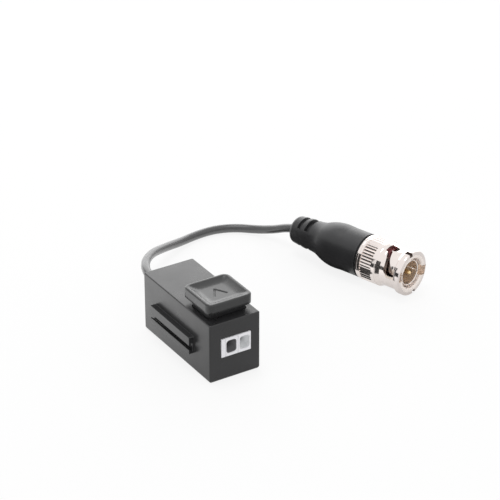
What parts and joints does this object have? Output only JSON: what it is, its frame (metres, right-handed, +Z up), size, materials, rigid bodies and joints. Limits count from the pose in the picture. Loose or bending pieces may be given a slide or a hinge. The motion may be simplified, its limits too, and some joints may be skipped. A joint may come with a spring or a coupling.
{
  "type": "cctv video balun",
  "caption": "Passive video balun: a black box with a push-button terminal for a wire pair and a coaxial pigtail that ends in a moulded BNC plug with a bayonet ring.",
  "frame": {"origin": "centre of the housing's underside, which it stands on", "axes": "+Z up, -Y out of the terminal end, +Y out of the cable end, +X towards the tongue side"},
  "size_m": [0.089, 0.0808, 0.0243],
  "materials": {
    "black_abs": "satin moulded",
    "white_plastic": "smooth",
    "grey_plastic": "smooth",
    "tinned_metal": "tinned",
    "spring_steel": "bright",
    "board": "solder mask",
    "ferrite": "matt",
    "copper": "enamelled",
    "ceramic": "matt",
    "cord_jacket": "smooth",
    "black_rubber": "moulded",
    "red_rubber": "silicone",
    "nickel": "nickel plated",
    "gold": "gold plated"
  },
  "bodies": {
    "unit": {"housing_shell": "black_abs", "base_cover": "black_abs", "terminal_block": "white_plastic", "wire_funnel_left": "black_abs", "wire_funnel_right": "grey_plastic", "contact_bar_left": "tinned_metal", "contact_bar_right": "tinned_metal", "clamp_spring_left": "spring_steel", "clamp_spring_right": "spring_steel", "return_spring": "spring_steel", "circuit_board": "board", "toroid_core": "ferrite", "toroid_winding": "copper", "surge_suppressor": "black_abs", "smd_capacitor": "ceramic", "smd_resistor": "black_abs", "cable_grommet": "black_rubber", "cable_tail": "cord_jacket", "cord_tube": "cord_jacket", "plug_boot": "black_rubber", "plug_body": "nickel", "gasket": "red_rubber", "insulator": "white_plastic", "centre_pin": "gold", "spring_washer": "spring_steel", "crimp_ferrule": "nickel"},
    "button": {"push_button": "black_abs"},
    "ring": {"coupling_ring": "nickel", "retaining_ring": "nickel"}
  },
  "joints": [
    {"name": "button_press", "type": "slide", "parent": "unit", "child": "button", "axis": [0, 0, -1], "range_m": [0, 0.0017], "stiffness_N_per_m": 1500, "springref_m": -0.0005, "deforming": ["return_spring", "clamp_spring_left", "clamp_spring_right"]},
    {"name": "coupling_ring_turn", "type": "hinge", "parent": "unit", "child": "ring", "pos_m": [0.07175, -0.0065, 0.0073], "axis": [0.3007, -0.9537, 0], "continuous": true}
  ]
}
